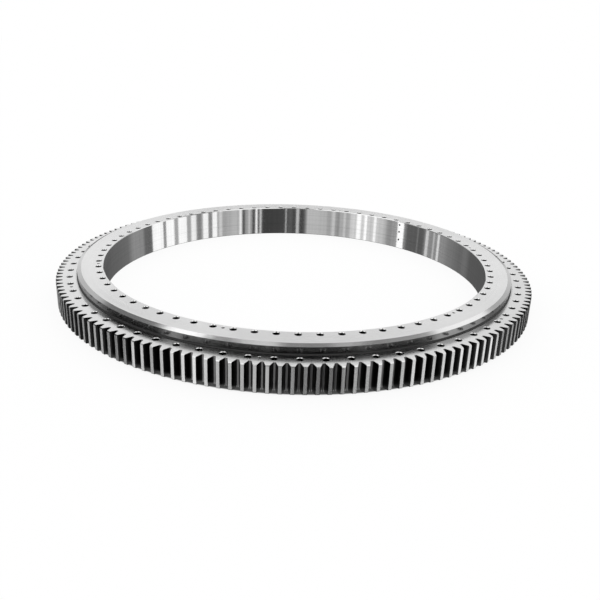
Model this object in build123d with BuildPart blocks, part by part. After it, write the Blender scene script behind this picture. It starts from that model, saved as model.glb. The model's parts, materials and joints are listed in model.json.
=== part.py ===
"""Slewing ring bearing, three roller rows, external gear, split inner ring.

The bearing lies flat with its axis on +Z. z = 0 is the lower mounting face of the inner ring,
and the origin is the centre of that face. All sizes are in millimetres.

The inner ring is split into an upper and a lower half that grip the nose of the gear ring.
Rollers lying on the nose carry thrust down, rollers under it carry thrust up, and upright
rollers against its inner face carry side load. Each row runs in its own cage segments.
"""

from build123d import *
from math import acos, cos, degrees, pi, radians, sin, tan
import os

# ---------------------------------------------------------------- driving dimensions
height = 182.0  # inner ring, face to face
bore_radius = 1045.0
flange_radius = 1178.0  # rim of the upper half, over the gear ring
bolt_count = 72
bolt_hole_radius = 15.0  # clearance for an M27 bolt
inner_bolt_circle = 1071.0  # radius of the circle through the hole centres
outer_bolt_circle = 1217.5
outer_bolt_angle = 0.3  # degrees, direction of one hole of the outer circle

module = 16.0
tooth_count = 158
profile_shift = 0.5
pressure_angle = radians(20)
tooth_phase = 0.14  # degrees, direction of one tooth centre
gear_bottom = 9.0
gear_top = 137.0  # 128 mm face width, eight modules

# Rolling elements, as diameter and length
upper_roller = (32.0, 32.0)
lower_roller = (25.0, 25.0)
radial_roller = (16.0, 28.0)
upper_roller_count = 144
lower_roller_count = 180
radial_roller_count = 180
cage_segments = 12
running_gap = 0.3  # between a roller and each of its raceways

# Levels and radii of the raceways
nose_top = 105.0
nose_bottom = 65.0
split_level = 70.0  # where the two halves of the inner ring meet
web_radius = 1102.0  # outside of the inner ring between the roller rows
radial_raceway = 1098.0
radial_raceway_top = 100.0
roller_circle = 1133.0  # centres of the axial rollers
pocket_radius = 1161.0  # wall of the gear ring round the axial rows
lower_ring_radius = 1158.0
rim_bottom = 143.5  # lower edge of the flange's wall
lower_seal_groove = (22.0, 29.0, 1167.0)  # two levels, and the radius of its bottom

# Small features
seal_track = (1186.0, 1.0)  # radius and depth of the upper seal's track in the gear ring
edge_break = 3.0
corner_break = 1.0
mouth_break = 2.5  # chamfer at the mouth of a bolt hole
tapped_mouth_break = 1.5
tooth_end_break = 4.0
rim_slope = (20.0, 9.0)  # taper of the flange rim, across and down
fit_gap = 0.05  # between parts that are fixed together
over_cut = 1.0  # how far a cutter runs past the face it cuts
pocket_relief = (4.0, 1.5)  # groove in the corner of a roller pocket, across and down
web_relief = (6.0, 2.0)  # the same where a raceway meets the web
lifting_hole = (7.0, 35.0)  # M16 core radius and depth
lifting_hole_count = 6
inner_lifting_angle = 12.5
outer_lifting_angle = 22.5
port_levels = (160.0, 113.0, 59.0)
port_angles = (47.5, 227.5)
port_radius = 6.5  # G 1/4
port_depth = 14.0
grease_way_radius = 2.5

# ---------------------------------------------------------------- worked out from those
pitch_radius = module * tooth_count / 2
base_radius = pitch_radius * cos(pressure_angle)
tip_radius = pitch_radius + (0.9 + profile_shift) * module
root_radius = pitch_radius - (1.25 - profile_shift) * module
root_fillet = 0.28 * module
upper_raceway = nose_top + upper_roller[0] + 2 * running_gap
lower_raceway = nose_bottom - lower_roller[0] - 2 * running_gap
nose_radius = radial_raceway + radial_roller[0] + 2 * running_gap
radial_circle = (radial_raceway + nose_radius) / 2
radial_row_level = (nose_top + nose_bottom) / 2
seal_seat_radius = flange_radius - 6.0
flange_underside = upper_raceway + 1.0


def involute(angle):
    """The involute function, tan a - a."""
    return tan(angle) - angle


def half_tooth_angle(radius):
    """Half the angle that one tooth covers at a radius, in radians."""
    at_pitch = (pi / 2 + 2 * profile_shift * tan(pressure_angle)) / tooth_count
    return at_pitch + involute(pressure_angle) - involute(acos(base_radius / radius))


def flank_point(radius, side):
    """A point on a tooth space's flank; the space lies round the +X axis."""
    angle = side * (pi / tooth_count - half_tooth_angle(radius))
    return (radius * cos(angle), radius * sin(angle))


def polar_point(radius, level, angle):
    """A point at a radius and level, at an angle in degrees about the axis."""
    return (radius * cos(radians(angle)), radius * sin(radians(angle)), level)


def turned(*points):
    """The solid of revolution of a closed outline of (radius, level) points."""
    with BuildPart() as solid:
        with BuildSketch(Plane.XZ):
            with BuildLine():
                Polyline(*points, close=True)
            make_face()
        revolve(axis=Axis.Z)
    return solid.part


def through_drill(radius, low, high, mouth):
    """A drill for a through hole that is chamfered at both mouths."""
    return turned(
        (0, low),
        (radius + mouth, low),
        (radius, low + mouth),
        (radius, high - mouth),
        (radius + mouth, high),
        (0, high),
    )


def blind_drill(radius, depth, top, mouth):
    """A drill for a tapped hole, with its mouth at the level top and a 118 degree point."""
    point = radius / tan(radians(59))
    return turned(
        (0, top - depth - point),
        (radius, top - depth),
        (radius, top - mouth),
        (radius + mouth, top),
        (0, top),
    )


# ---------------------------------------------------------------- gear ring
with BuildSketch() as tooth_space:
    outside = tip_radius + over_cut
    middle = (outside + root_radius) / 2
    with BuildLine():
        for side in (1, -1):
            ThreePointArc(
                flank_point(outside, side), flank_point(middle, side), flank_point(root_radius, side)
            )
        ThreePointArc(flank_point(root_radius, 1), (root_radius, 0), flank_point(root_radius, -1))
        Line(flank_point(outside, 1), flank_point(outside, -1))
    make_face()
    fillet(tooth_space.vertices().group_by(Axis.X)[0], root_fillet)

with BuildSketch(Plane.XY.offset(gear_bottom)) as gear_outline:
    Circle(tip_radius)
    with PolarLocations(0, tooth_count, start_angle=tooth_phase + 180 / tooth_count):
        add(tooth_space.sketch, mode=Mode.SUBTRACT)
    Circle(nose_radius, mode=Mode.SUBTRACT)

with BuildPart() as gear_ring:
    add(gear_outline.sketch)
    extrude(amount=gear_top - gear_bottom)
    # pockets above and below the nose, each with a relief groove in its corner
    for floor, mouth, inward in ((nose_top, gear_top, -1), (nose_bottom, gear_bottom, 1)):
        add(
            turned(
                (nose_radius - over_cut, mouth),
                (nose_radius - over_cut, floor),
                (pocket_radius - pocket_relief[0], floor),
                (pocket_radius - pocket_relief[0] / 2, floor + inward * pocket_relief[1]),
                (pocket_radius, floor),
                (pocket_radius, mouth),
            ),
            mode=Mode.SUBTRACT,
        )
    # bevels on the tooth ends
    for face_level, inward in ((gear_top, -1), (gear_bottom, 1)):
        add(
            turned(
                (tip_radius - tooth_end_break, face_level),
                (tip_radius + over_cut, face_level),
                (tip_radius + over_cut, face_level + inward * (tooth_end_break + over_cut)),
            ),
            mode=Mode.SUBTRACT,
        )
    add(
        turned(
            (pocket_radius - over_cut, gear_top),
            (pocket_radius - over_cut, gear_top - seal_track[1]),
            (seal_track[0], gear_top - seal_track[1]),
            (seal_track[0] + seal_track[1], gear_top),
        ),
        mode=Mode.SUBTRACT,
    )
    add(
        turned(
            (pocket_radius - over_cut, lower_seal_groove[0]),
            (lower_seal_groove[2], lower_seal_groove[0]),
            (lower_seal_groove[2], lower_seal_groove[1]),
            (pocket_radius - over_cut, lower_seal_groove[1]),
        ),
        mode=Mode.SUBTRACT,
    )
    with PolarLocations(outer_bolt_circle, bolt_count, start_angle=outer_bolt_angle):
        add(
            through_drill(bolt_hole_radius, gear_bottom, gear_top, mouth_break),
            mode=Mode.SUBTRACT,
        )
    with PolarLocations(outer_bolt_circle, lifting_hole_count, start_angle=outer_lifting_angle):
        add(blind_drill(*lifting_hole, gear_top, tapped_mouth_break), mode=Mode.SUBTRACT)
gear_ring.part.label = "gear_ring"

# ---------------------------------------------------------------- inner ring, upper half
joining_screw_count = 12
joining_screw_angle = 2.5
joining_screw_radius = 6.0  # M12
joining_screw_clearance = 6.75
joining_thread_depth = 30.0
dowel_count = 4
dowel_angle = 22.5
dowel = (8.0, 40.0)  # radius and length
dowel_break = 1.2
dowel_end_gap = 1.0
radial_port_exit = 90.0  # level where the middle port meets the radial raceway


def port_drill(level, *way):
    """The tapped mouth of a grease port, and the way behind it through (radius, level) points."""
    with BuildPart() as drill:
        with BuildSketch(Plane.YZ.offset(bore_radius - over_cut)):
            with Locations((0, level)):
                Circle(port_radius)
        extrude(amount=port_depth + over_cut)
        for start, end in zip(way, way[1:]):
            run = Vector(end[0] - start[0], 0, end[1] - start[1])
            with BuildSketch(Plane(origin=(start[0], 0, start[1]), z_dir=run)):
                Circle(grease_way_radius)
            extrude(amount=run.length)
    return drill.part


with BuildPart() as inner_ring_upper:
    add(
        turned(
            (bore_radius, split_level),
            (bore_radius, height - edge_break),
            (bore_radius + edge_break, height),
            (flange_radius - rim_slope[0], height),
            (flange_radius, height - rim_slope[1]),
            (flange_radius, rim_bottom + corner_break),
            (flange_radius - corner_break, rim_bottom),
            (seal_seat_radius, rim_bottom),
            (seal_seat_radius, flange_underside + corner_break),
            (seal_seat_radius - corner_break, flange_underside),
            (lower_ring_radius, flange_underside),
            (lower_ring_radius - corner_break, upper_raceway),
            (web_radius + web_relief[0], upper_raceway),
            (web_radius + web_relief[0] / 2, upper_raceway + web_relief[1]),
            (web_radius, upper_raceway),
            (web_radius, radial_raceway_top + corner_break),
            (radial_raceway, radial_raceway_top),
            (radial_raceway, split_level),
        )
    )
    with PolarLocations(inner_bolt_circle, bolt_count):
        add(
            through_drill(bolt_hole_radius, split_level - mouth_break, height, mouth_break),
            mode=Mode.SUBTRACT,
        )
    with PolarLocations(inner_bolt_circle, lifting_hole_count, start_angle=inner_lifting_angle):
        add(blind_drill(*lifting_hole, height, tapped_mouth_break), mode=Mode.SUBTRACT)
    with PolarLocations(inner_bolt_circle, joining_screw_count, start_angle=joining_screw_angle):
        with Locations((0, 0, split_level)):
            Cylinder(
                joining_screw_radius,
                joining_thread_depth,
                align=(Align.CENTER, Align.CENTER, Align.MIN),
                mode=Mode.SUBTRACT,
            )
    with PolarLocations(inner_bolt_circle, dowel_count, start_angle=dowel_angle):
        with Locations((0, 0, split_level)):
            Cylinder(dowel[0], dowel[1] + 2 * dowel_end_gap, mode=Mode.SUBTRACT)
    thrust_port = port_drill(
        port_levels[0],
        (bore_radius, port_levels[0]),
        (roller_circle, port_levels[0]),
        (roller_circle, upper_raceway - over_cut),
    )
    radial_port = port_drill(
        port_levels[1],
        (bore_radius + port_depth - grease_way_radius, port_levels[1]),
        (radial_raceway + grease_way_radius, radial_port_exit),
    )
    for angle in port_angles:
        add(thrust_port.rotate(Axis.Z, angle), mode=Mode.SUBTRACT)
        add(radial_port.rotate(Axis.Z, angle), mode=Mode.SUBTRACT)
inner_ring_upper.part.label = "inner_ring_upper"

# ---------------------------------------------------------------- inner ring, lower half
o_ring_circle = 1093.0
o_ring_groove = (5.0, 3.2)  # width and depth
screw_head = (9.0, 12.0)  # M12 socket head, radius and height
head_pocket = (10.0, 13.0)

with BuildPart() as inner_ring_lower:
    add(
        turned(
            (bore_radius + edge_break, 0),
            (bore_radius, edge_break),
            (bore_radius, split_level),
            (o_ring_circle - o_ring_groove[0] / 2, split_level),
            (o_ring_circle - o_ring_groove[0] / 2, split_level - o_ring_groove[1]),
            (o_ring_circle + o_ring_groove[0] / 2, split_level - o_ring_groove[1]),
            (o_ring_circle + o_ring_groove[0] / 2, split_level),
            (web_radius, split_level),
            (web_radius, lower_raceway),
            (web_radius + web_relief[0] / 2, lower_raceway - web_relief[1]),
            (web_radius + web_relief[0], lower_raceway),
            (lower_ring_radius - corner_break, lower_raceway),
            (lower_ring_radius, lower_raceway - corner_break),
            (lower_ring_radius, edge_break),
            (lower_ring_radius - edge_break, 0),
        )
    )
    with PolarLocations(inner_bolt_circle, bolt_count):
        add(
            through_drill(bolt_hole_radius, 0, split_level + mouth_break, mouth_break),
            mode=Mode.SUBTRACT,
        )
    with PolarLocations(inner_bolt_circle, joining_screw_count, start_angle=joining_screw_angle):
        add(
            turned(
                (0, 0),
                (head_pocket[0], 0),
                (head_pocket[0], head_pocket[1]),
                (joining_screw_clearance, head_pocket[1]),
                (joining_screw_clearance, split_level),
                (0, split_level),
            ),
            mode=Mode.SUBTRACT,
        )
    with PolarLocations(inner_bolt_circle, dowel_count, start_angle=dowel_angle):
        with Locations((0, 0, split_level)):
            Cylinder(dowel[0], dowel[1] + 2 * dowel_end_gap, mode=Mode.SUBTRACT)
    uplift_port = port_drill(
        port_levels[2],
        (bore_radius, port_levels[2]),
        (web_radius + over_cut, port_levels[2]),
    )
    for angle in port_angles:
        add(uplift_port.rotate(Axis.Z, angle), mode=Mode.SUBTRACT)
inner_ring_lower.part.label = "inner_ring_lower"

with BuildPart() as split_face_o_ring:
    cord_radius = o_ring_groove[1] / 2 - fit_gap
    with BuildSketch(Plane.XZ):
        with Locations((o_ring_circle, split_level - o_ring_groove[1] / 2)):
            Circle(cord_radius)
    revolve(axis=Axis.Z)
split_face_o_ring.part.label = "split_face_o_ring"

with BuildPart() as locating_dowels:
    dowel_radius = dowel[0] - fit_gap
    dowel_bottom = split_level - dowel[1] / 2
    dowel_top = split_level + dowel[1] / 2
    pin = turned(
        (0, dowel_bottom),
        (dowel_radius - dowel_break, dowel_bottom),
        (dowel_radius, dowel_bottom + dowel_break),
        (dowel_radius, dowel_top - dowel_break),
        (dowel_radius - dowel_break, dowel_top),
        (0, dowel_top),
    )
    with PolarLocations(inner_bolt_circle, dowel_count, start_angle=dowel_angle):
        add(pin)
locating_dowels.part.label = "locating_dowels"

# ---------------------------------------------------------------- joining screws
joining_screw_tip = split_level + 24.0
socket_width = 10.0
socket_depth = 6.0

with BuildPart() as joining_screws:
    head_face = head_pocket[1] - screw_head[1]
    shank = turned(
        (0, head_face),
        (screw_head[0] - corner_break, head_face),
        (screw_head[0], head_face + corner_break),
        (screw_head[0], head_pocket[1]),
        (joining_screw_radius - fit_gap, head_pocket[1]),
        (joining_screw_radius - fit_gap, joining_screw_tip - corner_break),
        (joining_screw_radius - corner_break, joining_screw_tip),
        (0, joining_screw_tip),
    )
    with PolarLocations(inner_bolt_circle, joining_screw_count, start_angle=joining_screw_angle):
        add(shank)
    with BuildSketch(Plane.XY.offset(head_face)):
        with PolarLocations(inner_bolt_circle, joining_screw_count, start_angle=joining_screw_angle):
            RegularPolygon(socket_width / 2, 6, major_radius=False)
    extrude(amount=socket_depth, mode=Mode.SUBTRACT)
joining_screws.part.label = "joining_screws"

# ---------------------------------------------------------------- grease port plugs
plug_length = 9.0
plug_recess = 1.0  # from the bore to the face of a plug
plug_socket = (7.0, 5.0)  # hexagon across flats, and depth

with BuildPart() as port_plugs:
    for angle in port_angles:
        for level in port_levels:
            mouth = Plane(
                origin=polar_point(bore_radius + plug_recess, level, angle),
                z_dir=polar_point(1, 0, angle),
            )
            with BuildSketch(mouth):
                Circle(port_radius - fit_gap)
            extrude(amount=plug_length)
            with BuildSketch(mouth):
                RegularPolygon(plug_socket[0] / 2, 6, major_radius=False)
            extrude(amount=plug_socket[1], mode=Mode.SUBTRACT)
port_plugs.part.label = "port_plugs"

# ---------------------------------------------------------------- seals
seal_gap = 0.3  # between a lip and the face it runs on
seal_lip = 1.0  # thickness of a lip at its edge
upper_lip_radius = flange_radius + 5.0
track_level = gear_top - seal_track[1]

with BuildPart() as upper_seal:
    root_low = flange_underside + seal_gap
    root_high = rim_bottom - fit_gap
    add(
        turned(
            (seal_seat_radius + fit_gap, root_low),
            (seal_seat_radius + fit_gap, root_high),
            (flange_radius - 2 * seal_lip, root_high),
            (flange_radius - seal_lip, root_high - 2 * seal_lip),
            (upper_lip_radius, track_level + seal_gap + seal_lip),
            (upper_lip_radius, track_level + seal_gap),
            (upper_lip_radius - seal_lip, track_level + seal_gap),
            (flange_radius - 3 * seal_lip, root_low),
        )
    )
upper_seal.part.label = "upper_seal"

with BuildPart() as lower_seal:
    groove_low, groove_high, groove_bottom = lower_seal_groove
    lip_level = groove_low - 3 * seal_lip
    lip_radius = lower_ring_radius + seal_gap
    add(
        turned(
            (groove_bottom - fit_gap, groove_low + fit_gap),
            (groove_bottom - fit_gap, groove_high - fit_gap),
            (pocket_radius - seal_lip / 2, groove_high - fit_gap),
            (pocket_radius - seal_lip, groove_high - 2 * seal_lip),
            (lip_radius, lip_level + seal_lip),
            (lip_radius, lip_level),
            (lip_radius + seal_lip, lip_level),
            (pocket_radius - seal_lip / 2, groove_low + fit_gap),
        )
    )
lower_seal.part.label = "lower_seal"


# ---------------------------------------------------------------- rollers and cages
roller_break = 1.0
pocket_play = 0.5  # all round a roller in its cage pocket
segment_gap = 1.5
cage_inner_radius = 1112.0
cage_outer_radius = 1156.0
cage_clearance = 4.5  # between a cage and the raceways above and below it
radial_cage_wall = 6.0
radial_cage_rim = 4.5


def roller(size):
    """A roller standing on its own axis, centred on the origin."""
    radius = size[0] / 2
    end = size[1] / 2
    return turned(
        (0, -end),
        (radius - roller_break, -end),
        (radius, -end + roller_break),
        (radius, end - roller_break),
        (radius - roller_break, end),
        (0, end),
    )


def ring_sector(inner, outer, low, high):
    """One segment of a cage: a ring between two radii and two levels, cut to length."""
    trim = degrees(segment_gap / 2 / inner)
    with BuildPart() as sector:
        with BuildSketch(Plane.XZ):
            with Locations(((inner + outer) / 2, (low + high) / 2)):
                Rectangle(outer - inner, high - low)
        revolve(axis=Axis.Z, revolution_arc=360 / cage_segments - 2 * trim)
    return sector.part.rotate(Axis.Z, trim)


def flat_cage_segment(size, count, low, high):
    """A cage segment with pockets for rollers that lie on radial axes."""
    with BuildPart() as segment:
        add(ring_sector(cage_inner_radius, cage_outer_radius, low, high))
        with BuildSketch(Plane.XY.offset(low)):
            with PolarLocations(roller_circle, count, start_angle=180 / count):
                Rectangle(size[1] + 2 * pocket_play, size[0] + 2 * pocket_play)
        extrude(amount=high - low, mode=Mode.SUBTRACT)
    return segment.part


def upright_cage_segment(size, count, level):
    """A cage segment with windows for upright rollers centred on a level."""
    inner = radial_circle - radial_cage_wall / 2
    outer = radial_circle + radial_cage_wall / 2
    half_window = size[1] / 2 + pocket_play
    half_height = half_window + radial_cage_rim
    with BuildPart() as segment:
        add(ring_sector(inner, outer, level - half_height, level + half_height))
        with BuildSketch(Plane.XY.offset(level - half_window)):
            with PolarLocations(radial_circle, count, start_angle=180 / count):
                Rectangle(2 * radial_cage_wall, size[0] + 2 * pocket_play)
        extrude(amount=2 * half_window, mode=Mode.SUBTRACT)
    return segment.part


upper_row_level = (nose_top + upper_raceway) / 2
lower_row_level = (nose_bottom + lower_raceway) / 2

with BuildPart() as upper_rollers:
    lying = roller(upper_roller).rotate(Axis.Y, 90).moved(Location((0, 0, upper_row_level)))
    with PolarLocations(roller_circle, upper_roller_count, start_angle=180 / upper_roller_count):
        add(lying)
upper_rollers.part.label = "upper_rollers"

with BuildPart() as lower_rollers:
    lying = roller(lower_roller).rotate(Axis.Y, 90).moved(Location((0, 0, lower_row_level)))
    with PolarLocations(roller_circle, lower_roller_count, start_angle=180 / lower_roller_count):
        add(lying)
lower_rollers.part.label = "lower_rollers"

with BuildPart() as radial_rollers:
    upright = roller(radial_roller).moved(Location((0, 0, radial_row_level)))
    with PolarLocations(radial_circle, radial_roller_count, start_angle=180 / radial_roller_count):
        add(upright)
radial_rollers.part.label = "radial_rollers"

# ---------------------------------------------------------------- write the parts
os.makedirs("parts", exist_ok=True)

cage_shapes = {
    "upper": flat_cage_segment(
        upper_roller,
        upper_roller_count,
        nose_top + cage_clearance,
        upper_raceway - cage_clearance,
    ),
    "lower": flat_cage_segment(
        lower_roller,
        lower_roller_count,
        lower_raceway + cage_clearance,
        nose_bottom - cage_clearance,
    ),
    "radial": upright_cage_segment(radial_roller, radial_roller_count, radial_row_level),
}
for row, shape in cage_shapes.items():
    for index in range(cage_segments):
        with BuildPart() as cage_segment:
            add(shape.rotate(Axis.Z, index * 360 / cage_segments))
        cage_segment.part.label = f"{row}_cage_segment_{index + 1:02d}"
        export_step(cage_segment.part, f"parts/{cage_segment.part.label}.step")

export_step(gear_ring.part, "parts/gear_ring.step")
export_step(inner_ring_upper.part, "parts/inner_ring_upper.step")
export_step(inner_ring_lower.part, "parts/inner_ring_lower.step")
export_step(split_face_o_ring.part, "parts/split_face_o_ring.step")
export_step(locating_dowels.part, "parts/locating_dowels.step")
export_step(joining_screws.part, "parts/joining_screws.step")
export_step(port_plugs.part, "parts/port_plugs.step")
export_step(upper_seal.part, "parts/upper_seal.step")
export_step(lower_seal.part, "parts/lower_seal.step")
export_step(upper_rollers.part, "parts/upper_rollers.step")
export_step(lower_rollers.part, "parts/lower_rollers.step")
export_step(radial_rollers.part, "parts/radial_rollers.step")
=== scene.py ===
"""Looks for a three-row roller slewing bearing: bare turned steel on a pale studio floor.

Every surface is a surface of revolution, a tooth or a drilled hole, so the finishes are worked
out from the radius, level and direction round the axis rather than from unwrapped textures.
Lengths are in metres.
"""

import json
import math

import bpy
from mathutils import Matrix, Vector


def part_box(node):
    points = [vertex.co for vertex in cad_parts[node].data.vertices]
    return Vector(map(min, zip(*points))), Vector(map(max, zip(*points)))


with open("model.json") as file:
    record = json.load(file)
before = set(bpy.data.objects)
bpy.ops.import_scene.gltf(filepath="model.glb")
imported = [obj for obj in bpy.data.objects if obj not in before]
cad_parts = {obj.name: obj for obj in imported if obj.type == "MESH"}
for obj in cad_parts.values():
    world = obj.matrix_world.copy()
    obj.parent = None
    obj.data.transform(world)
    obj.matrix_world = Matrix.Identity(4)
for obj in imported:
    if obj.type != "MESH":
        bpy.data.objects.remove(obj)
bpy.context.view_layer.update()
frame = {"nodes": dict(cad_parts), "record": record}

# ---------------------------------------------------------------- places
MM = 0.001
SPLIT_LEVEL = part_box("inner_ring_upper")[0].z
FLANGE_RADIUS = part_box("inner_ring_upper")[1].x
TIP_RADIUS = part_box("gear_ring")[1].x
TOOTH_DEPTH = 34.4 * MM  # tip to root, as in the gear's source
ROOT_RADIUS = TIP_RADIUS - TOOTH_DEPTH
BORE_RADIUS = 1045 * MM  # as in the part's source

# ---------------------------------------------------------------- view
# Fitted to the photograph by a helper program; angles are in degrees.
VIEW_AZIMUTH = -1.75  # round from looking along +Y
VIEW_ELEVATION = 21.768
VIEW_ROLL = 2.091
VIEW_DISTANCE = 3.1475 * TIP_RADIUS
VIEW_SIDEWAYS = 0.02692 * TIP_RADIUS
VIEW_RISE = -0.06455 * TIP_RADIUS
LENS = 42.40  # focal length and sensor width in millimetres, as Blender takes them
SENSOR = 36.0

# ---------------------------------------------------------------- finishes of the two rings
# A face's slope is the upward part of its normal: 1 on flat faces, 0 on upright walls.
FLAT_SLOPE = 0.96
FLAT_SOFT = 0.04
UPRIGHT_SLOPE = 0.2
GEAR_SIDE_SLOPE = 0.3
UPRIGHT_SOFT = 0.2
FACET_SLACK = 0.004  # how far a turned facet's normal may leave the radius
HOLE_PAINTED_SHADE = 0.10  # painted shade: tone of a drilled wall, dark as the shade inside a hole
HOLE_ROUGHNESS = 0.30
TURNED_STRETCH = 0.8  # anisotropy of turned faces
BUMP_HEIGHT = 0.2 * MM
FINE_WANDER = 0.7  # how fast tool marks change round the axis, and the broad bands
BROAD_WANDER = 1.5

RING_MARKS = 1.4 * MM  # pitch of the fine tool marks, and of the broad bands
RING_BANDS = 9 * MM
RING_SATIN = (0.30, 0.18)  # roughness and its spread on the flat faces
RING_GROUND = (0.05, 0.03)  # roughness and its spread on the upright walls
RING_SLOPED = 0.14
RING_TONES = (0.70, 0.86, 0.78)  # least and most of the clouds, and the tool marks
RING_DULLNESS = 0.20  # share of plain diffuse surface on the flat faces
RING_BUMPS = (0.02, 0.10)  # on the other faces, and on the flat ones
GROUND_STRETCH = 0.3
RIM_DEPTH = 8 * MM
RIM_SOFT = 2 * MM
RIM_PAINTED_SHADE = (0.20, 0.8)  # painted shade on the flange rim: its tone and how far it covers the steel's
RIM_ROUGHNESS = 0.15
RIM_STRETCH = 0.9
GRIND_LINES = 5 * MM
GRIND_WANDER = 0.4
GRIND_TONE = (0.40, 0.22)
SEAM_HALF = 0.6 * MM
SEAM_TONE = (0.10, 0.3)

GEAR_MARKS = 1.6 * MM
GEAR_BANDS = 8 * MM
GEAR_SATIN = (0.16, 0.12)
GEAR_TONES = (0.66, 0.84)
GEAR_DULLNESS = 0.08
GEAR_BUMP = 0.10
GEAR_OPEN_FROM = 34 * MM  # outside the flange rim; nearer to it the face is oily and bare
GEAR_OPEN_SOFT = 24 * MM
BEVEL_ROUGHNESS = 0.22
# painted shade between the teeth: the flanks' near-black tones
FLANK_PAINTED_SHADE = (0.03, 0.10)
FLANK_ROUGHNESS = (0.24, 0.12)
# painted shade, less dark, on the root band at the foot of the gaps
ROOT_PAINTED_SHADE = 0.32
ROOT_BAND = 2 * MM
TIP_TONES = (0.62, 0.80)
TIP_ROUGHNESS = 0.16
TIP_DULLNESS = 0.12
TIP_BAND = 1.2 * MM
TIP_SOFT = 0.6 * MM
MILLING_STEP = 1.2 * MM  # round the gear, across the depth of a tooth, and along it
MILLING_DEPTH = 1.5 * MM
MILLING_LENGTH = 60 * MM


# ---------------------------------------------------------------- node helpers
class Graph:
    """Short ways to add nodes to one material or world."""

    def __init__(self, tree):
        self.tree = tree
        tree.nodes.clear()

    def node(self, kind, inputs=None, **settings):
        made = self.tree.nodes.new(kind)
        for name, value in settings.items():
            setattr(made, name, value)
        for key, value in (inputs or {}).items():
            self.feed(made.inputs[key], value)
        return made

    def feed(self, socket, value):
        if isinstance(value, bpy.types.NodeSocket):
            self.tree.links.new(value, socket)
        else:
            socket.default_value = value

    def math(self, operation, *values, clamp=False):
        made = self.node("ShaderNodeMath", operation=operation, use_clamp=clamp)
        for socket, value in zip(made.inputs, values):
            self.feed(socket, value)
        return made.outputs[0]

    def vector(self, operation, *values):
        made = self.node("ShaderNodeVectorMath", operation=operation)
        for socket, value in zip(made.inputs, values):
            self.feed(socket, value)
        return made.outputs["Value"] if operation in ("DOT_PRODUCT", "LENGTH") else made.outputs[0]

    def scaled(self, vector, factor):
        made = self.node("ShaderNodeVectorMath", {0: vector, "Scale": factor}, operation="SCALE")
        return made.outputs[0]

    def combine(self, x, y, z):
        return self.node("ShaderNodeCombineXYZ", {0: x, 1: y, 2: z}).outputs[0]

    def split(self, vector):
        return self.node("ShaderNodeSeparateXYZ", {0: vector}).outputs

    def between(self, value, low, high, soft):
        """1 where low < value < high, with edges that blend over a width soft."""
        rise = self.step(value, low, soft)
        fall = self.step(value, high, soft)
        return self.math("SUBTRACT", rise, fall, clamp=True)

    def step(self, value, edge, soft):
        """0 below the edge and 1 above it, blended over a width soft."""
        made = self.node(
            "ShaderNodeMapRange",
            {"Value": value, "From Min": edge - soft / 2, "From Max": edge + soft / 2},
            interpolation_type="SMOOTHSTEP",
        )
        return made.outputs[0]

    def span(self, value, from_low, from_high, to_low, to_high):
        made = self.node(
            "ShaderNodeMapRange",
            {
                "Value": value,
                "From Min": from_low,
                "From Max": from_high,
                "To Min": to_low,
                "To Max": to_high,
            },
        )
        return made.outputs[0]

    def noise(self, place, scale, detail=2.0, roughness=0.5):
        made = self.node(
            "ShaderNodeTexNoise",
            {"Vector": place, "Scale": scale, "Detail": detail, "Roughness": roughness},
        )
        return made.outputs["Fac"]

    def mix(self, factor, low, high):
        made = self.node("ShaderNodeMix", {"Factor": factor}, data_type="FLOAT")
        self.feed(made.inputs[2], low)
        self.feed(made.inputs[3], high)
        return made.outputs[0]

    def mix_color(self, factor, low, high):
        made = self.node("ShaderNodeMix", {"Factor": factor}, data_type="RGBA")
        self.feed(made.inputs[6], low)
        self.feed(made.inputs[7], high)
        return made.outputs[2]

    def mix_vector(self, factor, low, high):
        made = self.node("ShaderNodeMix", {"Factor": factor}, data_type="VECTOR")
        self.feed(made.inputs[4], low)
        self.feed(made.inputs[5], high)
        return made.outputs[1]


def grey(level):
    """A neutral colour."""
    return (level, level, level, 1.0)


def new_material(name):
    material = bpy.data.materials.new(name)
    material.use_nodes = True
    return material, Graph(material.node_tree)


def axis_frame(g):
    """Radius, level, outward and round-the-axis directions at the shaded point."""
    geometry = g.node("ShaderNodeNewGeometry")
    place = g.node("ShaderNodeTexCoord").outputs["Object"]
    world_x, world_y = g.split(geometry.outputs["Position"])[:2]
    outward = g.vector("NORMALIZE", g.combine(world_x, world_y, 0.0))
    around = g.vector("CROSS_PRODUCT", g.combine(0.0, 0.0, 1.0), outward)
    x, y, z = g.split(place)
    radius = g.math("SQRT", g.math("ADD", g.math("MULTIPLY", x, x), g.math("MULTIPLY", y, y)))
    angle = g.math("ARCTAN2", y, x)
    return {
        "place": place,
        "radius": radius,
        "level": z,
        "angle": angle,
        "outward": outward,
        "around": around,
        "facet": geometry.outputs["True Normal"],
        "normal": geometry.outputs["Normal"],
    }


def turned_normal(g, at):
    """The exact normal of a turned surface, in place of the facets that stand for it."""
    facet_x, facet_y, facet_up = g.split(at["facet"])
    flat = g.combine(facet_x, facet_y, 0.0)
    flat_length = g.vector("LENGTH", flat)
    lean = g.vector("DOT_PRODUCT", flat, at["outward"])
    exact = g.vector(
        "NORMALIZE", g.vector("ADD", g.scaled(at["outward"], lean), g.combine(0.0, 0.0, facet_up))
    )
    # a facet that doesn't face along the radius belongs to a hole or a tooth and keeps its own
    off_radius = g.math("SUBTRACT", flat_length, g.math("ABSOLUTE", lean))
    is_turned = g.math("SUBTRACT", 1.0, g.step(off_radius, FACET_SLACK, FACET_SLACK / 2))
    normal = g.mix_vector(is_turned, at["normal"], exact)
    return g.vector("NORMALIZE", normal), is_turned


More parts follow.
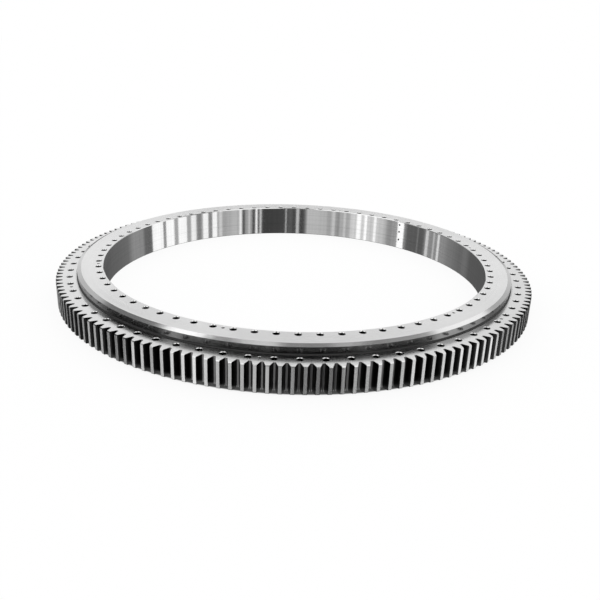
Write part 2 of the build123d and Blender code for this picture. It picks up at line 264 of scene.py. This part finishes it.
def metal(g, color, roughness, normal, tangent=None, anisotropy=0.0, bare=1.0):
    """The finished surface: a metal with grooves across the tangent, bare or partly dull."""
    inputs = {
        "Base Color": color,
        "Metallic": bare,
        "Roughness": roughness,
        "Normal": normal,
        "Anisotropic": anisotropy,
    }
    if tangent is not None:
        inputs["Tangent"] = tangent
    shader = g.node("ShaderNodeBsdfPrincipled", inputs)
    g.node("ShaderNodeOutputMaterial", {"Surface": shader.outputs["BSDF"]})


def lathe_marks(g, at, pitch, wander):
    """Fine tool marks that run round the axis: they vary with radius and level, hardly with angle."""
    across = g.combine(
        g.math("MULTIPLY", at["radius"], 1 / pitch),
        g.math("MULTIPLY", at["level"], 1 / pitch),
        g.math("MULTIPLY", at["angle"], wander),
    )
    return g.noise(across, 1.0, 3.0, 0.6)


def handling_marks(g, at):
    """Faint cloudy patches and smears, as on steel wiped down with an oily cloth."""
    clouds = g.noise(at["place"], 9.0, 4.0, 0.55)
    smear_place = g.combine(
        g.math("MULTIPLY", at["radius"], 60.0),
        g.math("MULTIPLY", at["level"], 60.0),
        g.math("MULTIPLY", at["angle"], 9.0),
    )
    smears = g.noise(smear_place, 1.0, 3.0, 0.5)
    return g.math("ADD", g.math("MULTIPLY", clouds, 0.6), g.math("MULTIPLY", smears, 0.4))


def spread(g, value, middle, width):
    """A middle value that wanders over a width as value runs from 0 to 1."""
    return g.math("ADD", middle, g.math("MULTIPLY", g.math("SUBTRACT", value, 0.5), width))


def bumped(g, height, strength, distance, normal):
    return g.node(
        "ShaderNodeBump",
        {"Height": height, "Strength": strength, "Distance": distance, "Normal": normal},
    ).outputs[0]


def ring_steel():
    """Inner ring: ground mirror bore, ground rim darkened with painted shade, satin turned top face.
    """
    material, g = new_material("ring_steel")
    at = axis_frame(g)
    exact, is_turned = turned_normal(g, at)
    facing_up = g.math("ABSOLUTE", g.split(exact)[2])
    flat_face = g.step(facing_up, FLAT_SLOPE, FLAT_SOFT)
    upright = g.math("SUBTRACT", 1.0, g.step(facing_up, UPRIGHT_SLOPE, UPRIGHT_SOFT))
    marks = lathe_marks(g, at, RING_MARKS, FINE_WANDER)
    bands = lathe_marks(g, at, RING_BANDS, BROAD_WANDER)
    clouds = handling_marks(g, at)
    rim = g.math("MULTIPLY", upright, g.step(at["radius"], FLANGE_RADIUS - RIM_DEPTH, RIM_SOFT))
    hole = g.math("MULTIPLY", g.math("SUBTRACT", 1.0, is_turned), upright)

    satin = spread(g, bands, *RING_SATIN)
    ground = g.math("ADD", RING_GROUND[0], g.math("MULTIPLY", clouds, RING_GROUND[1]))
    roughness = g.mix(flat_face, RING_SLOPED, satin)
    roughness = g.mix(upright, roughness, ground)
    roughness = g.mix(rim, roughness, RIM_ROUGHNESS)
    roughness = g.mix(hole, roughness, HOLE_ROUGHNESS)

    least, most, marked = RING_TONES
    light = g.mix_color(clouds, grey(least), grey(most))
    mark_share = g.math("MULTIPLY", g.math("SUBTRACT", marks, 0.35), 0.9, clamp=True)
    tone = g.mix_color(mark_share, light, grey(marked))
    # painted shade: the flange rim's upright wall is darkened towards near black
    tone = g.mix_color(g.math("MULTIPLY", rim, RIM_PAINTED_SHADE[1]), tone, grey(RIM_PAINTED_SHADE[0]))
    # painted shade inside the drilled holes
    tone = g.mix_color(hole, tone, grey(HOLE_PAINTED_SHADE))
    # grinding leaves faint level lines on the upright walls
    lines = lathe_marks(g, at, GRIND_LINES, GRIND_WANDER)
    line_share = g.math("MULTIPLY", upright, g.span(lines, 0.42, 0.7, 0.0, GRIND_TONE[1]))
    tone = g.mix_color(line_share, tone, grey(GRIND_TONE[0]))
    # a hairline where the two halves of the ring meet
    seam = g.between(at["level"], SPLIT_LEVEL - SEAM_HALF, SPLIT_LEVEL + SEAM_HALF, SEAM_HALF)
    tone = g.mix_color(g.math("MULTIPLY", seam, SEAM_TONE[1]), tone, grey(SEAM_TONE[0]))

    height = g.math("ADD", g.math("MULTIPLY", marks, 0.5), g.math("MULTIPLY", bands, 0.5))
    normal = bumped(g, height, g.mix(flat_face, *RING_BUMPS), BUMP_HEIGHT, exact)
    stretch = g.vector("CROSS_PRODUCT", at["around"], exact)
    grooved = g.math("MAXIMUM", flat_face, rim)
    anisotropy = g.math("MULTIPLY", is_turned, g.mix(grooved, GROUND_STRETCH, RIM_STRETCH))
    bare = g.mix(flat_face, 1.0, 1 - RING_DULLNESS)
    metal(g, tone, roughness, normal, stretch, anisotropy, bare)
    return material


def gear_steel():
    """Gear ring: turned faces, milled tooth flanks darkened with painted shade, pale tooth tips."""
    material, g = new_material("gear_steel")
    at = axis_frame(g)
    exact, is_turned = turned_normal(g, at)
    facing_up = g.math("ABSOLUTE", g.split(exact)[2])
    flat_face = g.step(facing_up, FLAT_SLOPE, FLAT_SOFT)
    marks = lathe_marks(g, at, GEAR_MARKS, FINE_WANDER)
    bands = lathe_marks(g, at, GEAR_BANDS, BROAD_WANDER)
    clouds = handling_marks(g, at)

    toothed = g.step(at["radius"], ROOT_RADIUS - 1 * MM, 1 * MM)
    side_face = g.math("SUBTRACT", 1.0, g.step(facing_up, GEAR_SIDE_SLOPE, UPRIGHT_SOFT))
    off_axis = g.math("SUBTRACT", 1.0, is_turned)
    tip = g.math("MULTIPLY", g.step(at["radius"], TIP_RADIUS - TIP_BAND, TIP_SOFT), side_face)
    flank = g.math("MULTIPLY", g.math("MULTIPLY", toothed, side_face), g.math("SUBTRACT", 1.0, tip))
    hole = g.math("MULTIPLY", g.math("SUBTRACT", side_face, toothed, clamp=True), off_axis)
    root = g.math("SUBTRACT", 1.0, g.step(at["radius"], ROOT_RADIUS + ROOT_BAND, ROOT_BAND))
    bevel = g.math("SUBTRACT", 1.0, g.math("ADD", side_face, flat_face), clamp=True)

    # milling leaves upright marks along each flank
    mill_place = g.combine(
        g.math("MULTIPLY", at["angle"], TIP_RADIUS / MILLING_STEP),
        g.math("MULTIPLY", at["radius"], 1 / MILLING_DEPTH),
        g.math("MULTIPLY", at["level"], 1 / MILLING_LENGTH),
    )
    milling = g.noise(mill_place, 1.0, 2.0, 0.5)

    light = g.mix_color(clouds, *map(grey, GEAR_TONES))
    # painted shade between the teeth: near-black flanks and a less dark root band
    flank_painted_shade = g.mix_color(milling, *map(grey, FLANK_PAINTED_SHADE))
    flank_painted_shade = g.mix_color(root, flank_painted_shade, grey(ROOT_PAINTED_SHADE))
    tip_tone = g.mix_color(clouds, *map(grey, TIP_TONES))
    tone = g.mix_color(flank, light, flank_painted_shade)
    tone = g.mix_color(tip, tone, tip_tone)
    # painted shade inside the drilled holes
    tone = g.mix_color(hole, tone, grey(HOLE_PAINTED_SHADE))

    satin = spread(g, bands, *GEAR_SATIN)
    milled = g.math("ADD", FLANK_ROUGHNESS[0], g.math("MULTIPLY", milling, FLANK_ROUGHNESS[1]))
    roughness = g.mix(flank, satin, milled)
    roughness = g.mix(tip, roughness, TIP_ROUGHNESS)
    roughness = g.mix(bevel, roughness, BEVEL_ROUGHNESS)
    roughness = g.mix(hole, roughness, HOLE_ROUGHNESS)

    height = g.math("ADD", g.math("MULTIPLY", marks, 0.5), g.math("MULTIPLY", milling, 0.5))
    normal = bumped(g, height, GEAR_BUMP, BUMP_HEIGHT, exact)
    stretch = g.vector("CROSS_PRODUCT", at["around"], exact)
    anisotropy = g.math("MULTIPLY", is_turned, g.mix(tip, TURNED_STRETCH, 0.0))
    # the open part of the flat faces is a little dull; close to the flange it is oily and bare
    outside = g.step(at["radius"], FLANGE_RADIUS + GEAR_OPEN_FROM, GEAR_OPEN_SOFT)
    open_face = g.math("MULTIPLY", flat_face, outside)
    bare = g.mix(tip, g.mix(open_face, 1.0, 1 - GEAR_DULLNESS), 1 - TIP_DULLNESS)
    metal(g, tone, roughness, normal, stretch, anisotropy, bare)
    return material


def plain_metal(name, dark, pale, roughness, grain):
    """A small part's metal, with grain and uneven tone."""
    material, g = new_material(name)
    place = g.node("ShaderNodeTexCoord").outputs["Object"]
    normal = g.node("ShaderNodeNewGeometry").outputs["Normal"]
    clouds = g.noise(place, grain, 4.0, 0.6)
    fine = g.noise(place, grain * 12, 2.0, 0.5)
    tone = g.mix_color(clouds, dark, pale)
    rough = spread(g, fine, roughness, 0.15)
    metal(g, tone, rough, bumped(g, fine, 0.15, 0.1 * MM, normal))
    return material


def seal_rubber():
    """Black moulded rubber with a slight sheen and a dusty bloom."""
    material, g = new_material("seal_rubber")
    at = axis_frame(g)
    exact = turned_normal(g, at)[0]
    bloom = g.noise(at["place"], 25.0, 4.0, 0.6)
    grain = g.noise(at["place"], 900.0, 2.0, 0.5)
    tone = g.mix_color(bloom, grey(0.010), grey(0.030))
    roughness = g.math("ADD", 0.38, g.math("MULTIPLY", bloom, 0.2))
    shader = g.node(
        "ShaderNodeBsdfPrincipled",
        {
            "Base Color": tone,
            "Roughness": roughness,
            "Normal": bumped(g, grain, 0.2, 0.1 * MM, exact),
        },
    )
    g.node("ShaderNodeOutputMaterial", {"Surface": shader.outputs["BSDF"]})
    return material


def dress_nodes():
    """Gives each CAD node the finish of its material slot."""
    finishes = {
        "ring_steel": ring_steel(),
        "gear_steel": gear_steel(),
        "seal_rubber": seal_rubber(),
        "roller_steel": plain_metal("roller_steel", grey(0.72), grey(0.84), 0.12, 30.0),
        "fastener_steel": plain_metal("fastener_steel", grey(0.05), grey(0.12), 0.38, 60.0),
        "cage_brass": plain_metal(
            "cage_brass", (0.55, 0.36, 0.12, 1.0), (0.72, 0.52, 0.22, 1.0), 0.30, 40.0
        ),
    }
    for part in frame["record"]["subparts"]:
        node = frame["nodes"][part["node"]]
        finish = finishes[part["material_slot"]]
        if not node.data.materials:
            node.data.materials.append(finish)
        for index in range(len(node.data.materials)):
            node.data.materials[index] = finish


# ---------------------------------------------------------------- studio
# What the polished steel mirrors: walls of uneven brightness, and a dark ceiling with bright
# panels. Azimuths are in degrees, 90 being straight ahead of the camera. These tables are not
# worked out here. Their directions and brightness were read off the reflections in the
# photograph with helper programs, and one of those also rewrote the directions in ROOM_WALL
# and ROOM_STRIPS.
ROOM_WALL = [
    (0, 0.30),
    (19, 0.30),
    (20, 0.15),
    (27, 0.16),
    (29, 0.32),
    (40, 0.32),
    (46.5, 0.18),
    (70, 0.14),
    (91, 0.10),
    (124.5, 0.12),
    (131.5, 0.20),
    (138.5, 0.16),
    (151.5, 0.24),
    (157.5, 0.32),
    (175, 0.30),
    (176, 0.12),
    (190, 0.13),
    (192, 0.30),
    (199, 0.40),
    (205, 0.34),
    (209, 0.66),
    (232, 0.82),
    (234, 0.48),
    (263, 0.62),
    (265, 0.08),
    (294.5, 0.06),
    (296.5, 0.46),
    (307, 0.38),
    (313, 0.60),
    (322, 0.44),
    (324, 0.45),
]
# The upper part of the walls: pale ahead of the camera, dark behind it.
ROOM_UPPER_WALL = [
    (0, 1.10),
    (18, 0.85),
    (28, 0.30),
    (45, 0.32),
    (57, 0.60),
    (68, 0.82),
    (78, 0.96),
    (102, 0.96),
    (110, 0.95),
    (118, 0.80),
    (127, 0.55),
    (142, 0.62),
    (150, 0.62),
    (160, 0.22),
    (168, 0.03),
    (202, 0.02),
    (205, 0.80),
    (212, 0.80),
    (215, 0.15),
    (226, 0.18),
    (234, 0.02),
    (254, 0.02),
    (258, 0.12),
    (262, 0.01),
    (303, 0.01),
    (308, 0.20),
    (313, 0.02),
    (332, 0.03),
    (343, 0.14),
    (349, 1.15),
]
# (azimuth, width, lowest and highest elevation, brightness) of each window or lamp under the
# ceiling
ROOM_PANELS = [
    (136, 30, 33, 53, 0.18),
    (133, 38, 53, 63, 1.35),
    (45, 34, 31, 50, 1.10),
    (46, 34, 50, 62, 0.32),
    (112, 24, 66, 80, 0.75),
    (60, 12, 62, 72, 0.55),
    (205, 80, 44, 84, 1.35),
    (330, 70, 44, 84, 1.35),
    (267, 44, 54, 84, 0.28),
]
# (azimuth, width, brightness) of each light strip or dark post in front of the wall
ROOM_STRIPS = [
    (3, 8, 1.25),
    (8.6, 3, 0.34),
    (14.6, 10, 1.25),
    (162.3, 2, 0.90),
    (166.7, 1.5, 0.60),
    (172.9, 2.4, 0.80),
    (181.1, 1, 0.24),
    (195.4, 5, 1.35),
    (204, 3, 0.34),
    (215.2, 2, 1.25),
    (222.1, 2, 1.35),
    (226.9, 3, 1.30),
    (237.2, 1.6, 0.72),
    (242, 3, 0.36),
    (245, 1.8, 0.72),
    (248.1, 2.5, 0.44),
    (269.9, 2, 0.65),
    (274.9, 3, 0.12),
    (277.9, 1, 0.50),
    (295.5, 1.2, 0.75),
    (296.8, 1, 0.08),
    (298.4, 1, 1.40),
    (300.3, 2, 0.08),
    (303.5, 1.4, 0.72),
    (307.3, 1.5, 0.08),
    (309.6, 1.6, 1.10),
    (324, 2.4, 0.76),
    (328.3, 3.4, 1.25),
    (331.8, 3, 0.28),
    (335.1, 4, 1.20),
    (340.1, 3, 0.26),
    (344.4, 4, 1.12),
    (353.2, 7, 1.25),
]
# Elevations in degrees: where the upper wall starts, where the ceiling starts, and the floor line
# under which nothing in the room shines.
UPPER_WALL_FROM = 0.0
CEILING_FROM = 50.0
DARK_BELOW = -42.0
DARKNESS = 0.03
CEILING_TONES = (0.03, 0.22)  # behind the camera and ahead of it
AHEAD = (20.0, 160.0, 30.0)  # the azimuths ahead of it, and the width they blend over
UPPER_WALL_SOFT = 8.0
CEILING_SOFT = 12.0
DARK_SOFT = 16.0
STRIP_SOFT = 0.4
PANEL_SOFT = (4.0, 3.0)  # sideways and upward
STREAK_GAIN = (0.82, 1.18)  # least and most of the uneven light on the walls
PATCH_GAIN = (0.5, 1.8)  # and on the ceiling

FLOOR_SIZE = 60
FLOOR_DROP = 0.2 * MM  # under the ring, so that the two faces don't share a plane
FLOOR_GLOW = 0.90  # share of the floor's light that doesn't depend on shadows
PAINTED_SHADOW_DEPTH = 0.95  # painted shadow: how much of that is lost right under the ring
# where the painted shadow under the ring starts and ends, and how soft its edges are
PAINTED_SHADOW_FROM = BORE_RADIUS + 15 * MM
PAINTED_SHADOW_TO = ROOT_RADIUS + 12 * MM
PAINTED_SHADOW_SOFT = 12 * MM


def round_the_room(g, azimuth, levels):
    """Brightness at an azimuth, from (azimuth, brightness) pairs."""
    ramp = g.node("ShaderNodeValToRGB", {"Fac": g.math("DIVIDE", azimuth, 360.0)})
    stops = ramp.color_ramp.elements
    while len(stops) > 1:
        stops.remove(stops[-1])
    for index, (where, level) in enumerate(levels):
        stop = stops[0] if index == 0 else stops.new(where / 360)
        stop.position = where / 360
        stop.color = grey(level)
    return g.split(ramp.outputs["Color"])[0]


def studio_world():
    """Even white light for everything but mirror reflections, which see the panelled room."""
    world = bpy.data.worlds.new("studio")
    bpy.context.scene.world = world
    world.use_nodes = True
    g = Graph(world.node_tree)
    x, y, z = g.split(g.node("ShaderNodeTexCoord").outputs["Generated"])
    turned_back = math.radians(-VIEW_AZIMUTH)
    azimuth = g.math("DEGREES", g.math("ADD", g.math("ARCTAN2", y, x), turned_back))
    azimuth = g.math("FLOORED_MODULO", azimuth, 360.0)
    elevation = g.math("DEGREES", g.math("ARCSINE", z))

    wall = round_the_room(g, azimuth, ROOM_WALL)
    for where, width, level in ROOM_STRIPS:
        inside = g.between(azimuth, where - width / 2, where + width / 2, STRIP_SOFT)
        wall = g.mix(inside, wall, level)
    streaks = g.noise(g.combine(azimuth, 0.0, 0.0), 0.9, 3.0, 0.6)
    wall = g.math("MULTIPLY", wall, g.span(streaks, 0.3, 0.7, *STREAK_GAIN))
    upper_wall = round_the_room(g, azimuth, ROOM_UPPER_WALL)

    ahead = g.between(azimuth, *AHEAD)
    patches = g.noise(g.combine(azimuth, 0.0, 0.0), 0.16, 2.0, 0.6)
    uneven = g.span(patches, 0.35, 0.65, *PATCH_GAIN)
    ceiling = g.math("MULTIPLY", g.mix(ahead, *CEILING_TONES), uneven)
    room = g.mix(g.step(elevation, UPPER_WALL_FROM, UPPER_WALL_SOFT), wall, upper_wall)
    room = g.mix(g.step(elevation, CEILING_FROM, CEILING_SOFT), room, ceiling)
    for where, width, low, high, level in ROOM_PANELS:
        across = g.between(azimuth, where - width / 2, where + width / 2, PANEL_SOFT[0])
        upward = g.between(elevation, low, high, PANEL_SOFT[1])
        room = g.mix(g.math("MULTIPLY", across, upward), room, level)
    room = g.mix(g.step(elevation, DARK_BELOW, DARK_SOFT), DARKNESS, room)

    mirrored = g.node("ShaderNodeLightPath").outputs["Is Glossy Ray"]
    strength = g.mix(mirrored, 1.0, room)
    background = g.node("ShaderNodeBackground", {"Color": grey(1.0), "Strength": strength})
    g.node("ShaderNodeOutputWorld", {"Surface": background.outputs[0]})
    world.cycles.sampling_method = "NONE"


def studio_floor():
    """A pale floor that mostly glows by itself, with a painted shadow in a band right under the ring.
    """
    bpy.ops.mesh.primitive_plane_add(size=FLOOR_SIZE, location=(0, 0, -FLOOR_DROP))
    floor = bpy.context.object
    floor.name = "studio_floor"
    material, g = new_material("studio_floor")
    paint = g.node("ShaderNodeBsdfDiffuse", {"Color": grey(1.0)})
    x, y = g.split(g.node("ShaderNodeTexCoord").outputs["Object"])[:2]
    radius = g.math("SQRT", g.math("ADD", g.math("MULTIPLY", x, x), g.math("MULTIPLY", y, y)))
    # painted shadow: the floor's glow dims in a band right under the ring
    painted_shadow = g.between(radius, PAINTED_SHADOW_FROM, PAINTED_SHADOW_TO, PAINTED_SHADOW_SOFT)
    strength = g.math("SUBTRACT", 1.0, g.math("MULTIPLY", painted_shadow, PAINTED_SHADOW_DEPTH))
    glow = g.node("ShaderNodeEmission", {"Color": grey(1.0), "Strength": strength})
    both = g.node("ShaderNodeMixShader", {0: FLOOR_GLOW, 1: paint.outputs[0], 2: glow.outputs[0]})
    g.node("ShaderNodeOutputMaterial", {"Surface": both.outputs[0]})
    floor.data.materials.append(material)
    floor.visible_glossy = False


def studio_camera():
    """The camera, placed from its azimuth, elevation, distance and roll."""
    elevation = math.radians(VIEW_ELEVATION)
    back = Vector((0, -math.cos(elevation), math.sin(elevation)))
    right = Vector((1, 0, 0))
    up = Vector((0, math.sin(elevation), math.cos(elevation)))
    roll = math.radians(VIEW_ROLL)
    rolled_right = math.cos(roll) * right + math.sin(roll) * up
    rolled_up = math.cos(roll) * up - math.sin(roll) * right
    place = back * VIEW_DISTANCE + right * VIEW_SIDEWAYS + up * VIEW_RISE
    axes = Matrix((rolled_right, rolled_up, back)).transposed().to_4x4()
    turn = Matrix.Rotation(math.radians(VIEW_AZIMUTH), 4, "Z")
    data = bpy.data.cameras.new("camera")
    data.lens = LENS
    data.sensor_width = SENSOR
    data.clip_end = 100
    camera = bpy.data.objects.new("camera", data)
    bpy.context.scene.collection.objects.link(camera)
    camera.matrix_world = turn @ Matrix.Translation(place) @ axes
    bpy.context.scene.camera = camera


dress_nodes()
studio_world()
studio_floor()
studio_camera()
bpy.context.scene.view_settings.view_transform = "Standard"
